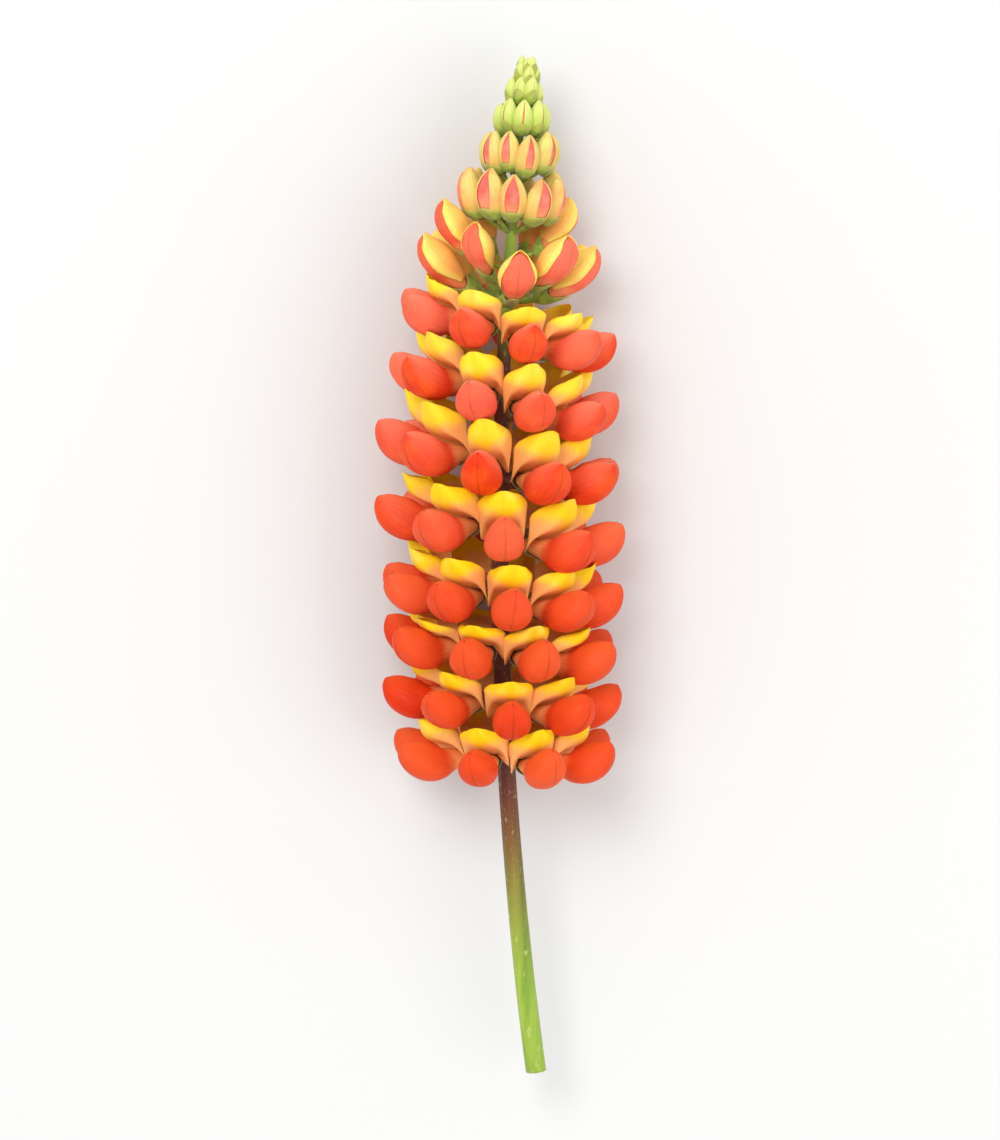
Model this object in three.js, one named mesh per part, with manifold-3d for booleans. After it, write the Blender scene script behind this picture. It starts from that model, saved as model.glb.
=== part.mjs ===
// One lupin flower spike, picked with a bare length of its stalk and laid on a table.
// Coral wings and yellow banners stand round the stem in whorls, below a cone of buds.
// Millimetres. +Y runs along the stem to the tip, +Z is up, and z = 0 is the table.
import * as THREE from "three";
import { mergeVertices } from "three/addons/utils/BufferGeometryUtils.js";
import Module from "manifold-3d";

const wasm = await Module();
wasm.setup();

// ---------------------------------------------------------------- driving dimensions

// Places along the spike are stations: the distance down the stem from its tip.
const CUT_END = 322; // where the stalk was cut
const AXIS_HEIGHT = 32.4; // of the stem above the table, where the spike bows least
const BOW = { at: 150, aside: 8.8, down: 5 }; // how far the tip leans and sinks from its line
const CORE_TOP = 3.5; // the stem's own tip, inside the topmost buds
const HEAD_END = 72.5; // the head of buds ends and the bare stem begins
const SEAT_GAP = 0.3; // between pieces that touch

// The stem's radius below the head, and that of the core inside the head.
const STEM_RADIUS = { top: 2.2, cut: 3.4, taper: 0.8 };
const CORE_RADIUS = { tip: 0.5, base: 2.2, taper: 0.7 };
const STEM_SIDES = 10;
const STEM_STEP = 24; // between the stem's rings
const NODE_RING = { wall: 0.95, height: 3.4 }; // the swollen ring that a whorl's stalks spring from

// Open whorls from the top down: station, florets, azimuth of the first one, reach from the
// axis to the wings' tips, tilt and crest. Azimuth 0 faces up from the table, 90 is +X. tilt is
// how much lower a whorl's florets spring on its +X side than in its middle, and crest is the b
// of its banners' tips. A banner between two wings of the whorl above is up to CREST_RISE higher.
const OPEN_WHORLS = [
  { station: 85.4, count: 9, first: 14, reach: 35, tilt: 5, crest: 12.4 },
  { station: 106, count: 9, first: 22.5, reach: 37, tilt: 6, crest: 14.2 },
  { station: 127.4, count: 9, first: 31, reach: 39, tilt: 6, crest: 15.2 },
  { station: 148.2, count: 8, first: 4, reach: 39.5, tilt: 4.5, crest: 13.3 },
  { station: 169.2, count: 9, first: 7, reach: 39, tilt: 3.5, crest: 13 },
  { station: 186.4, count: 8, first: 25, reach: 38, tilt: 3, crest: 9 },
  { station: 203.4, count: 8, first: 3, reach: 37, tilt: 3, crest: 9.4 },
  { station: 220.4, count: 8, first: 26, reach: 36, tilt: 2.5, crest: 10.4 },
];
const CREST_RISE = 2.8;
// Half open florets: a few on the head, steeper, and a whorl below it. Each has an azimuth and a
// sink, which is how much lower than the station it is. start is how far from the axis their
// stalks start, inside the head's core or inside the whorl's ring.
const FIRST_OPENING = {
  station: 64,
  size: 0.92,
  lift: 12,
  start: 1.2,
  azimuths: [-72, -38, 118, 160, 212],
  sinks: [0.5, 7, -1.5, 1, 0],
};
const OPENING_WHORL = {
  station: 75,
  size: 1,
  lift: 0,
  start: 3.1,
  azimuths: [-85, 8, 42, 80, 120, 160, 200, 238],
  sinks: [-1.2, 0, -3.5, 1, 1, 0, 0, -1],
};
// Closed buds: the stations of their roots and how many stand round the core there.
const BUD_ROWS = [
  { station: 53, count: 9, first: 2 },
  { station: 38, count: 9, first: 22 },
  { station: 25, count: 8, first: 0 },
  { station: 15.4, count: 7, first: 24 },
  { station: 10.4, count: 5, first: 10 },
  { station: 7.6, count: 3, first: 40 },
  { station: 6.2, count: 1, first: 0 },
];

// A floret's own axes: a runs out from the stem, b along it to the tip and c across.
// Its rings, from the stalk by the calyx to the round end, are a, b, half height, half width.
const STALK = { rise: -0.5, radius: 0.85, sunk: 0.5 }; // sunk: how deep it starts in the ring
const WINGS = {
  rings: [[9.6, -0.2, 0.9, 0.9], [16, 0, 2.6, 2.6], [23.4, -0.8, 5, 5.2], [31.4, 1.8, 5.4, 5.4]],
  tip: [36.9, 7.2],
  reach: 37.4, // size 1 is for this reach from the axis
};
// The banner's creased middle and folded sides, row by row, between its claw and its tip. What
// is above its shoulder is as high as its crest lets it be.
const BANNER = {
  claw: [15.4, 3.8],
  middle: [[21, 4.6], [26.2, 8.6]],
  side: [[18.8, 5.2, 4], [23.8, 11, 4.2]],
  margin: [[17.2, 5.2], [20, 12]], // distance from the axis and b, where it meets the next one
  tip: [28.8, 15.6],
  shoulder: 5, // b
  thickness: 0.7,
};
// Half open: the coral egg on its stalk, and the banner still folded over its back.
const EGG = {
  rings: [[10.2, 1.5, 0.9, 0.9], [15.4, 4, 3, 3], [20.6, 8.5, 4.8, 5.2], [25, 12.9, 4, 4.3]],
  tip: [27.5, 16.6],
};
const HOOD = {
  foot: [13.6, 5.6],
  rings: [[16.6, 9.6, 2.4, 5], [20.8, 14, 2.4, 4.7]],
  tip: [25.6, 18],
};
const LEAST_SLANT = 0.55; // a sheet's skins are moved apart at folds no more than this allows
const FLORET_SIDES = 6;
// A closed bud of full size. least is the share of it that the smallest ones have, rush tells how
// fast they grow from there and slimming how much faster their width shrinks. Its rings are
// places along the bud with shares of its width.
const BUD = {
  root: [0.3, -0.2],
  foot: [9, 5],
  tip: [13.2, 19],
  belly: 1.14, // how much further out than its tip its middle bulges
  width: 4.4,
  stalk: 0.8,
  rings: [[0, 0.62], [0.3, 1], [0.66, 0.84]],
  sides: 5,
  least: 0.26,
  rush: 0.6,
  slimming: 1.4,
};

// Small irregularities: degrees, and millimetres along the stem.
const WANDER = { azimuth: 2.2, pitch: 1.6, roll: 6, along: 0.5, size: 0.03 };
const EGG_WANDER = { azimuth: 2, pitch: 3, roll: 5, along: 0.5, size: 0.04 };
const BUD_WANDER = { azimuth: 5, pitch: 3, roll: 0, along: 1.2, size: 0.06 };

// The spike's weight bends what lies under it: below this height the petals are pressed up.
const PRESS = { below: 14, strength: 0.0108 };

// ---------------------------------------------------------------- the stem's line

const radians = THREE.MathUtils.degToRad;

function stemPoint(station) {
  const bow = ((station - BOW.at) / BOW.at) ** 2;
  return new THREE.Vector3(BOW.aside * bow, CUT_END / 2 - station, AXIS_HEIGHT - BOW.down * bow);
}

// The directions at a station: along the stem to the tip, up from the table, and aside.
function stemFrame(station) {
  const slope = (2 * (station - BOW.at)) / BOW.at ** 2;
  const along = new THREE.Vector3(-BOW.aside * slope, 1, BOW.down * slope).normalize();
  const up = new THREE.Vector3(0, 0, 1).addScaledVector(along, -along.z).normalize();
  return { along, up, aside: new THREE.Vector3().crossVectors(along, up) };
}

function stemRadius(station) {
  const share = Math.max(0, (station - HEAD_END) / (CUT_END - HEAD_END));
  return STEM_RADIUS.top + (STEM_RADIUS.cut - STEM_RADIUS.top) * share ** STEM_RADIUS.taper;
}

function coreRadius(station) {
  const share = (station / HEAD_END) ** CORE_RADIUS.taper;
  return THREE.MathUtils.lerp(CORE_RADIUS.tip, CORE_RADIUS.base, share);
}

// ---------------------------------------------------------------- placing what grows on it

// A repeatable draw from -1 to 1 for a floret's number and what it is for.
function draw(number, purpose) {
  const wave = Math.sin(number * 12.9898 + purpose * 78.233) * 43758.5453;
  return 2 * (wave - Math.floor(wave)) - 1;
}

function pressed(point) {
  const depth = Math.max(0, PRESS.below - point.z);
  point.z += PRESS.strength * depth * depth;
  return point;
}

// Turns a floret's a, b, c into a point. The floret is number i of a row, and lift leans its
// a axis up to the tip.
function placer([row, i], { station, azimuth, size, lift = 0 }, wander) {
  const number = 100 * row + i;
  const at = station + wander.along * draw(number, 1);
  const angle = radians(azimuth + wander.azimuth * draw(number, 2));
  const pitch = radians(lift + wander.pitch * draw(number, 3));
  const roll = radians(wander.roll * draw(number, 4));
  const scale = size * (1 + wander.size * draw(number, 5));
  const { along, up, aside } = stemFrame(at);
  const out = up.clone().multiplyScalar(Math.cos(angle)).addScaledVector(aside, Math.sin(angle));
  const frame = new THREE.Matrix4()
    .makeBasis(out, along, out.clone().cross(along))
    .setPosition(stemPoint(at))
    .multiply(new THREE.Matrix4().makeRotationZ(pitch))
    .multiply(new THREE.Matrix4().makeRotationX(roll))
    .multiply(new THREE.Matrix4().makeScale(scale, scale, scale));
  const place = (x, y, z = 0) => pressed(new THREE.Vector3(x, y, z).applyMatrix4(frame));
  place.scale = scale;
  place.stem = stemRadius(at);
  return place;
}

// ---------------------------------------------------------------- solids

function solid(points, faces) {
  const geometry = new THREE.BufferGeometry().setFromPoints(faces.flat().map((i) => points[i]));
  const merged = mergeVertices(geometry, 1e-4);
  const build = (triVerts) =>
    new wasm.Manifold(
      new wasm.Mesh({ numProp: 3, vertProperties: merged.attributes.position.array, triVerts }),
    );
  const made = build(new Uint32Array(merged.index.array));
  return made.volume() > 0 ? made : build(new Uint32Array(merged.index.array).reverse());
}

// A closed body through rings of points, drawn together at its two end points.
function loft(rings, first, last) {
  const sides = rings[0].length;
  const points = [first, ...rings.flat(), last];
  const end = points.length - 1;
  const at = (ring, side) => 1 + ring * sides + (side % sides);
  const faces = [];
  for (let side = 0; side < sides; side++) {
    faces.push([0, at(0, side + 1), at(0, side)]);
    for (let ring = 0; ring + 1 < rings.length; ring++) {
      faces.push([at(ring, side), at(ring, side + 1), at(ring + 1, side + 1)]);
      faces.push([at(ring, side), at(ring + 1, side + 1), at(ring + 1, side)]);
    }
    faces.push([end, at(rings.length - 1, side), at(rings.length - 1, side + 1)]);
  }
  return solid(points, faces);
}

// A ring of points round a floret's own line: x and y in its a, b plane, square to direction.
function ringRound(place, [x, y], direction, height, width, sides) {
  return Array.from({ length: sides }, (_, side) => {
    const angle = (2 * Math.PI * side) / sides - Math.PI / 2;
    const rise = height * Math.sin(angle);
    return place(x - direction.y * rise, y + direction.x * rise, width * Math.cos(angle));
  });
}

// A sheet of even thickness from its middle surface. edges are its rim's, as pairs of points.
// A point's normal is the mean of its faces' by their angles there, which keeps the two skins
// apart at sharp folds, and it is shifted further where the folds would thin the sheet.
function sheet(points, faces, edges, thickness) {
  const normals = points.map(() => new THREE.Vector3());
  const flats = faces.map(([i, j, k]) => {
    const one = points[j].clone().sub(points[i]);
    return one.cross(points[k].clone().sub(points[i])).normalize();
  });
  faces.forEach(([i, j, k], face) => {
    for (const [corner, next, last] of [[i, j, k], [j, k, i], [k, i, j]]) {
      const towards = points[next].clone().sub(points[corner]);
      const angle = towards.angleTo(points[last].clone().sub(points[corner]));
      normals[corner].addScaledVector(flats[face], angle);
    }
  });
  normals.forEach((normal) => normal.normalize());
  const steepest = points.map(() => 1);
  faces.forEach((corners, face) => {
    for (const corner of corners) {
      steepest[corner] = Math.min(steepest[corner], normals[corner].dot(flats[face]));
    }
  });
  const shifted = (side) =>
    points.map((point, i) => {
      const shift = (side * thickness) / 2 / Math.max(steepest[i], LEAST_SLANT);
      return point.clone().addScaledVector(normals[i], shift);
    });
  const count = points.length;
  const backFaces = faces.map(([i, j, k]) => [i + count, k + count, j + count]);
  const rim = edges.flatMap(([i, j]) => [[i, j + count, j], [i, i + count, j + count]]);
  return solid([...shifted(1), ...shifted(-1)], [...faces, ...backFaces, ...rim]);
}

// ---------------------------------------------------------------- parts of a floret

// A closed body on a floret's middle plane, through rings of a, b, half height and half width.
function pouch(place, foot, rings, tip) {
  const line = [foot, ...rings, tip];
  const hoops = rings.map(([x, y, height, width], i) => {
    const direction = new THREE.Vector2(line[i + 2][0] - line[i][0], line[i + 2][1] - line[i][1]);
    return ringRound(place, [x, y], direction.normalize(), height, width, FLORET_SIDES);
  });
  return loft(hoops, place(...foot), place(...tip));
}

// The same on a stalk that starts at a distance from the axis. sink is how much lower the floret
// is than the ring that its stalk springs from.
function stalked(place, { rings, tip }, start, sink = 0) {
  const [x, y] = [start / place.scale, STALK.rise + sink / place.scale];
  const root = [x, y, STALK.radius, STALK.radius];
  return pouch(place, [x - STALK.sunk / 2, y], [root, ...rings], tip);
}

// A whorl's banners as one sheet: each meets the next at the points of their shared margin.
function banners(florets) {
  const points = [];
  const add = (point) => points.push(point) - 1;
  const raised = (b, { crest }) => {
    const above = Math.max(0, b - BANNER.shoulder);
    return b - above * (1 - (crest - BANNER.shoulder) / (BANNER.tip[1] - BANNER.shoulder));
  };
  const outward = (floret, [distance, b], side) => {
    const half = (side * Math.PI) / florets.length;
    const reach = distance / floret.place.scale;
    return floret.place(reach * Math.cos(half), raised(b, floret), reach * Math.sin(half));
  };
  const petals = florets.map((floret, i) => {
    const before = florets.at(i - 1);
    const shared = BANNER.margin.map((m) => add(outward(floret, m, 1).lerp(outward(before, m, -1), 0.5)));
    return { floret, shared };
  });
  const faces = [];
  const edges = [];
  petals.forEach(({ floret, shared }, i) => {
    const far = petals[(i + 1) % petals.length].shared;
    const corner = ([x, y, z = 0]) => add(floret.place(x, raised(y, floret), z));
    const claw = corner(BANNER.claw);
    const tip = corner(BANNER.tip);
    const rows = BANNER.middle.map((middle, row) => {
      const [x, y, z] = BANNER.side[row];
      return [shared[row], corner([x, y, z]), corner(middle), corner([x, y, -z]), far[row]];
    });
    for (let column = 0; column < 4; column++) {
      const [[lowLeft, lowRight], [highLeft, highRight]] = rows.map((row) => row.slice(column, column + 2));
      faces.push([claw, lowLeft, lowRight], [highLeft, tip, highRight]);
      faces.push([lowLeft, highLeft, highRight], [lowLeft, highRight, lowRight]);
    }
    edges.push([far[0], claw], [claw, shared[0]], [shared[1], tip], [tip, far[1]]);
  });
  return sheet(points, faces, edges, BANNER.thickness);
}

// A closed bud. grown is its share of the full size and across that of the head's breadth.
function bud(place, grown, across) {
  const foot = new THREE.Vector2(BUD.foot[0] * across, BUD.foot[1] * grown);
  const tip = new THREE.Vector2(BUD.tip[0] * across, foot.y + (BUD.tip[1] - BUD.foot[1]) * grown);
  const belly = new THREE.Vector2(tip.x * BUD.belly, (foot.y + tip.y) / 2);
  const line = new THREE.QuadraticBezierCurve(foot, belly, tip);
  const stalk = BUD.stalk * grown;
  const towards = foot.clone().normalize();
  const root = ringRound(place, towards.toArray(), towards, stalk, stalk, BUD.sides);
  const hoops = BUD.rings.map(([t, share]) => {
    const width = BUD.width * grown ** BUD.slimming * share;
    return ringRound(place, line.getPoint(t).toArray(), line.getTangent(t), width, width, BUD.sides);
  });
  return loft([root, ...hoops], place(...BUD.root), place(...tip.toArray()));
}

// ---------------------------------------------------------------- the spike's pieces

// A round length of stem between stations, with a flat cut at each end. tilt slants its rings.
function stemLength(from, to, radius, tilt = 0) {
  const steps = Math.ceil((to - from) / STEM_STEP);
  const rings = Array.from({ length: steps + 1 }, (_, step) => {
    const station = from + ((to - from) * step) / steps;
    return ringAround(station, radius(station), tilt);
  });
  return loft(rings, pressed(stemPoint(from)), pressed(stemPoint(to)));
}

function ringAround(station, radius, tilt) {
  const { along, up, aside } = stemFrame(station);
  return Array.from({ length: STEM_SIDES }, (_, side) => {
    const angle = (2 * Math.PI * side) / STEM_SIDES;
    return pressed(
      stemPoint(station)
        .addScaledVector(up, radius * Math.cos(angle))
        .addScaledVector(aside, radius * Math.sin(angle))
        .addScaledVector(along, -tilt * Math.sin(angle)),
    );
  });
}

// The swollen ring where a whorl springs: a short sleeve that clears the stem. tilt slants it.
function nodeRing(station, tilt = 0) {
  const inner = (stemRadius(station) + SEAT_GAP) / Math.cos(Math.PI / STEM_SIDES);
  const half = NODE_RING.height / 2;
  const outside = stemLength(station - half, station + half, () => inner + NODE_RING.wall, tilt);
  const beyond = NODE_RING.height + tilt;
  return outside.subtract(stemLength(station - beyond, station + beyond, () => inner));
}

function together(solids) {
  return wasm.Manifold.union(solids);
}

// From 0 below one of the wings of the whorl above to 1 midway between two.
function betweenWings(azimuth, above) {
  const turn = ((azimuth - above.first) * above.count) / 360;
  return (2 * Math.abs(turn - Math.round(turn))) ** 2;
}

function openWhorl(row, i) {
  const above = OPEN_WHORLS[i - 1];
  return Array.from({ length: row.count }, (_, k) => {
    const azimuth = row.first + (360 * k) / row.count;
    const station = row.station + row.tilt * Math.sin(radians(azimuth));
    const numbers = [BUD_ROWS.length + 2 + i, k];
    const place = placer(numbers, { station, azimuth, size: row.reach / WINGS.reach }, WANDER);
    const rise = above ? CREST_RISE * betweenWings(azimuth, above) : 0;
    return { place, crest: row.crest + rise };
  });
}

// With ringed, all their stalks spring from the ring at the station.
function halfOpenFlorets({ station, size, lift, start, azimuths, sinks }, row, ringed) {
  return azimuths.map((azimuth, i) => {
    const place = placer([row, i], { station: station + sinks[i], azimuth, size, lift }, EGG_WANDER);
    const egg = stalked(place, EGG, start, ringed ? sinks[i] : 0);
    return egg.add(pouch(place, HOOD.foot, HOOD.rings, HOOD.tip));
  });
}

function head() {
  const core = stemLength(CORE_TOP, HEAD_END, coreRadius);
  const buds = BUD_ROWS.flatMap(({ station, count, first }, row) => {
    const across = station / BUD_ROWS[0].station;
    const grown = BUD.least + (1 - BUD.least) * across ** BUD.rush;
    return Array.from({ length: count }, (_, i) => {
      const azimuth = first + (360 * i) / count;
      return bud(placer([row, i], { station, azimuth, size: 1 }, BUD_WANDER), grown, across);
    });
  });
  return together([core, ...buds, ...halfOpenFlorets(FIRST_OPENING, BUD_ROWS.length, false)]);
}

// ---------------------------------------------------------------- meshes

const COLOURS = {
  green: { color: 0x8ea63c, roughness: 0.6 },
  bud: { color: 0xe3c26e, roughness: 0.55 },
  opening: { color: 0xf0863f, roughness: 0.55 },
  coral: { color: 0xfa5238, roughness: 0.5 },
  yellow: { color: 0xfbd31b, roughness: 0.5 },
};

const spike = new THREE.Group();

// Puts a solid in the group. Where it is pressed on the table it ends flat on it.
function add(name, made, colour) {
  const { numProp, vertProperties, triVerts } = made.trimByPlane([0, 0, 1], 0).getMesh();
  const positions = new Float32Array((vertProperties.length / numProp) * 3);
  for (let i = 0; i < positions.length / 3; i++) {
    positions.set(vertProperties.subarray(i * numProp, i * numProp + 3), i * 3);
  }
  const geometry = new THREE.BufferGeometry()
    .setAttribute("position", new THREE.BufferAttribute(positions, 3))
    .setIndex(new THREE.BufferAttribute(triVerts, 1));
  const material = new THREE.MeshStandardMaterial({ ...COLOURS[colour], metalness: 0, flatShading: true });
  const mesh = new THREE.Mesh(geometry, material);
  mesh.name = name;
  spike.add(mesh);
}

add("stem", stemLength(HEAD_END + SEAT_GAP, CUT_END, stemRadius), "green");
add("bud_head", head(), "bud");
const opening = halfOpenFlorets(OPENING_WHORL, BUD_ROWS.length + 1, true);
add("opening_whorl", together([nodeRing(OPENING_WHORL.station), ...opening]), "opening");
OPEN_WHORLS.forEach((row, i) => {
  const florets = openWhorl(row, i);
  const wings = florets.map(({ place }) => stalked(place, WINGS, place.stem + SEAT_GAP + STALK.sunk));
  add(`whorl_${i + 1}_wings`, together([nodeRing(row.station, row.tilt), ...wings]), "coral");
  add(`whorl_${i + 1}_banners`, banners(florets), "yellow");
});

// The origin is under the middle of the spike.
const middle = new THREE.Box3().setFromObject(spike).getCenter(new THREE.Vector3());
spike.position.set(-middle.x, -middle.y, 0);

const model = new THREE.Group();
model.add(spike);

export default model;
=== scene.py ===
"""A picked lupin flower spike that lies on a pale floor and is seen from above.

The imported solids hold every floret's place. The same rules place the fine petals here.
Lengths are in millimetres until Piece.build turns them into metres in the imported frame.
"""
import math

import bpy
import numpy as np
from mathutils import Matrix, Vector


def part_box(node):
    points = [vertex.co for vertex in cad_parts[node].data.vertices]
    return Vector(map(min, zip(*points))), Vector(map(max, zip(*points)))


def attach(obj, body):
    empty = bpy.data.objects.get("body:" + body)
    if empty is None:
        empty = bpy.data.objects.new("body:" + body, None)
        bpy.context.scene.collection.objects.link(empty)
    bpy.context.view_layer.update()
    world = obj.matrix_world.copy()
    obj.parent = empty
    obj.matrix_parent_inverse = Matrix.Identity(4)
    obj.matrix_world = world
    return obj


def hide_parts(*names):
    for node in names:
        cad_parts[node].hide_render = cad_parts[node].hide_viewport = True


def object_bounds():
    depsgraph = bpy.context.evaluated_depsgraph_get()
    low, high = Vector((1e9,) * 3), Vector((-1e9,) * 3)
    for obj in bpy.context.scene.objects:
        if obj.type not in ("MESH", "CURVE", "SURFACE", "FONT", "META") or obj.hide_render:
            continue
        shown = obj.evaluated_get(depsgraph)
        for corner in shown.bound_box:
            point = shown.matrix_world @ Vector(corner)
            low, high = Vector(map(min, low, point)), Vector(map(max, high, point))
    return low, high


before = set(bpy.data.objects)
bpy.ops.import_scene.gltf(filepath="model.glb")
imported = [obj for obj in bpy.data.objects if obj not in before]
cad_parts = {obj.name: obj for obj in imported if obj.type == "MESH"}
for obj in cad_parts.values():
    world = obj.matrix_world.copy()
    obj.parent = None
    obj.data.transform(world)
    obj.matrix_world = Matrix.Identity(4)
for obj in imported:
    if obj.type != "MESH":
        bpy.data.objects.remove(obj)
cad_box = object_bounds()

MM = 0.001
scene = bpy.context.scene

# ---- the spike's plan

# Stations are distances down the stem from the spike's tip.
CUT_END = 322
AXIS_HEIGHT = 32.4
BOW = {"at": 150, "aside": 8.8, "down": 5}
CORE_TOP = 3.5
HEAD_END = 72.5
SEAT_GAP = 0.3
STEM_RADIUS = {"thin": 2.2, "thick": 3.4, "taper": 0.8}
CORE_RADIUS = {"thin": 0.5, "thick": 2.2, "taper": 0.7}
STEM_SIDES = 10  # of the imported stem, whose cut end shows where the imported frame's origin is
FULL_AGE = 240  # the station where the age that the materials read is 1

# Open whorls from the top down. reach is the wings', tilt is how much lower a whorl's florets
# spring on its +X side than in its middle, and crest is the b of its banners' tips. A banner
# that stands between two wings of the whorl above is up to CREST_RISE higher.
WHORL_KEYS = ("station", "count", "first", "reach", "tilt", "crest")
OPEN_WHORLS = [dict(zip(WHORL_KEYS, row)) for row in (
    (85.4, 9, 14, 35, 5, 12.4),
    (106, 9, 22.5, 37, 6, 14.2),
    (127.4, 9, 31, 39, 6, 15.2),
    (148.2, 8, 4, 39.5, 4.5, 13.3),
    (169.2, 9, 7, 39, 3.5, 13),
    (186.4, 8, 25, 38, 3, 9),
    (203.4, 8, 3, 37, 3, 9.4),
    (220.4, 8, 26, 36, 2.5, 10.4),
)]
CREST_RISE = 2.8
# Half open florets: azimuths, and how much lower than the station each one springs.
FIRST_OPENING = {
    "station": 64, "size": 0.92, "lift": 12, "start": 1.2,
    "azimuths": [-72, -38, 118, 160, 212], "sinks": [0.5, 7, -1.5, 1, 0],
}
OPENING_WHORL = {
    "station": 75, "size": 1, "lift": 0, "start": 2.6,
    "azimuths": [-85, 8, 42, 80, 120, 160, 200, 238], "sinks": [-1.2, 0, -3.5, 1, 1, 0, 0, -1],
}
# Closed buds: the station of each row's roots, how many stand in it and the first azimuth.
BUD_ROWS = [
    (53, 9, 2), (38, 9, 22), (25, 8, 0), (15.4, 7, 24), (10.4, 5, 10), (7.6, 3, 40), (6.2, 1, 0),
]

# How far a floret may stray from its even place, and what each draw for a floret is for.
WANDER = {"azimuth": 2.2, "pitch": 1.6, "roll": 6, "along": 0.5, "size": 0.03}
EGG_WANDER = {"azimuth": 2, "pitch": 3, "roll": 5, "along": 0.5, "size": 0.04}
BUD_WANDER = {"azimuth": 5, "pitch": 3, "roll": 0, "along": 1.2, "size": 0.06}
DRAWS = (
    "along", "azimuth", "pitch", "roll", "size", "tone", "waves", "sag", "ruffle", "ripeness", "bend",
)
# The spike's weight bends up what hangs below this height, and more the lower it hangs.
PRESS = {"below": 14, "strength": 0.0108, "lowest": 0.3}

# ---- petals' shapes

# A floret's own axes: a runs out from the stem, b along it to the tip and c across.
# Rings are a, b, half height and half width along a petal pair, from its base to its round end.
WINGS_REACH = 37.4
WINGS = [
    (11.6, 0.2, 1.5, 1.5), (15.2, 0.1, 2.4, 2.3), (19.6, -0.3, 3.6, 3.5),
    (24, -0.9, 5.1, 5.2), (28.2, -0.1, 5.8, 5.9), (31.6, 1.9, 5.4, 5.4),
    (34, 4.1, 4.2, 4), (35.6, 5.9, 2.4, 2.2), (36.4, 6.9, 0.3, 0.3),
]
EGG = [
    (13.2, 2.4, 1.2, 1.2), (15.6, 4.1, 2.5, 2.5), (18.2, 6.3, 3.8, 3.9),
    (21, 8.9, 4.7, 5.1), (23.6, 11.4, 4.7, 5.2), (25.7, 13.8, 3.7, 4),
    (27.1, 15.8, 2.1, 2.2), (27.7, 17, 0.3, 0.3),
]
# The calyx's rings, from the stalk's end, and how far along them its two lips and sides reach.
CUP = [
    (9.2, -0.2, 0.95, 0.95), (10.2, 0, 1.8, 1.7), (11.6, 0.2, 2.6, 2.4),
    (13.2, 0.3, 2.9, 2.7), (15.2, 0.2, 3.2, 3), (17.2, 0, 3.7, 3.5),
]
EGG_CUP = [
    (9.8, 1.3, 0.95, 0.95), (10.8, 1.5, 1.7, 1.7), (12.4, 2.2, 2.3, 2.2),
    (14.2, 3.3, 2.8, 2.7), (16, 4.6, 3.5, 3.5), (17.8, 6.1, 4.2, 4.3),
]
CUP_LIPS = {"lower": 0.92, "upper": 0.72, "side": 0.5}
EGG_CUP_LIPS = {"lower": 0.95, "upper": 0.75, "side": 0.5}
STALK_END = (9.7, -0.15)
EGG_STALK_END = (10.3, 1.5)
# Half a banner as rows from the claw to the top and columns from the crease to the margin.
# The last two columns give a distance from the stem, b, and their share of the way round to
# the next floret. Above its shoulder a banner is as high as its whorl's crest lets it be.
BANNER_FREE = [
    [(12.6, 2.6, 0), (12.5, 2.7, 0.7), (12.2, 2.6, 1.4)],
    [(18.2, 4.3, 0), (18, 4.6, 1.9), (17.4, 4.3, 3.8)],
    [(23.4, 6, 0), (23.5, 6.5, 2.4), (22.6, 6.2, 4.7)],
    [(26.8, 9, 0), (26.9, 9.5, 2.6), (25.3, 9.2, 5.1)],
    [(28.2, 12.8, 0), (28.1, 13.2, 2.5), (26.2, 12.7, 4.8)],
    [(29.3, 16.9, 0), (28.9, 16.7, 1.5), (27.3, 15.8, 3.2)],
]
BANNER_MARGIN = [
    [(12.4, 2.5, 0.30), (12.3, 2.5, 0.40)],
    [(17, 1.8, 0.78), (16.4, -0.6, 0.93)],
    [(20.8, 4.2, 0.80), (18.9, 1.6, 0.96)],
    [(22.8, 8.6, 0.80), (20.3, 7, 0.97)],
    [(23.6, 12.2, 0.79), (20.9, 10.8, 0.95)],
    [(25.2, 14.6, 0.55), (22.8, 12.8, 0.77)],
]
BANNER_SHOULDER = 5
BANNER_TOP = 15.9
RUFFLE = 0.22
LIP_RUFFLE = 0.3
PEAR = 0.26  # how much narrower a petal pair is above its middle, and wider below
# A wing pair: shares of its size, but for bend, how far an open one's tip strays up or down.
WING_PAIR = {"overlap": 0.045, "puff": 0.024, "fine_puff": 0.012, "ridge": 0.06, "bend": 0.7}
KEEL = {"from": 0.05, "to": 0.93, "height": 0.72, "raised": 0.05, "width": 0.3}
HOOD = {"from": 0.12, "wrap": 2.15, "clear": 0.4, "clear_tip": 0.3, "clear_margin": 0.15}
BUD = {
    "foot": (9, 5), "tip": (13.2, 19), "belly": 1.14, "width": 4.4,
    "slimming": 1.4, "least": 0.26, "rush": 0.6, "core": 0.95, "sheet": 0.3,
}
BUD_SHARES = [0.62, 0.88, 0.99, 1.0, 0.96, 0.86, 0.69, 0.44, 0.08]
BUD_SLIT = {"young": 0.02, "ripe": 0.66}
# A sheet's thickness at its middle and at its thin margins.
SHEETS = {"wing": (0.34, 0.18), "banner": (0.42, 0.16), "hood": (0.42, 0.18), "calyx": (0.5, 0.18)}
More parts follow.
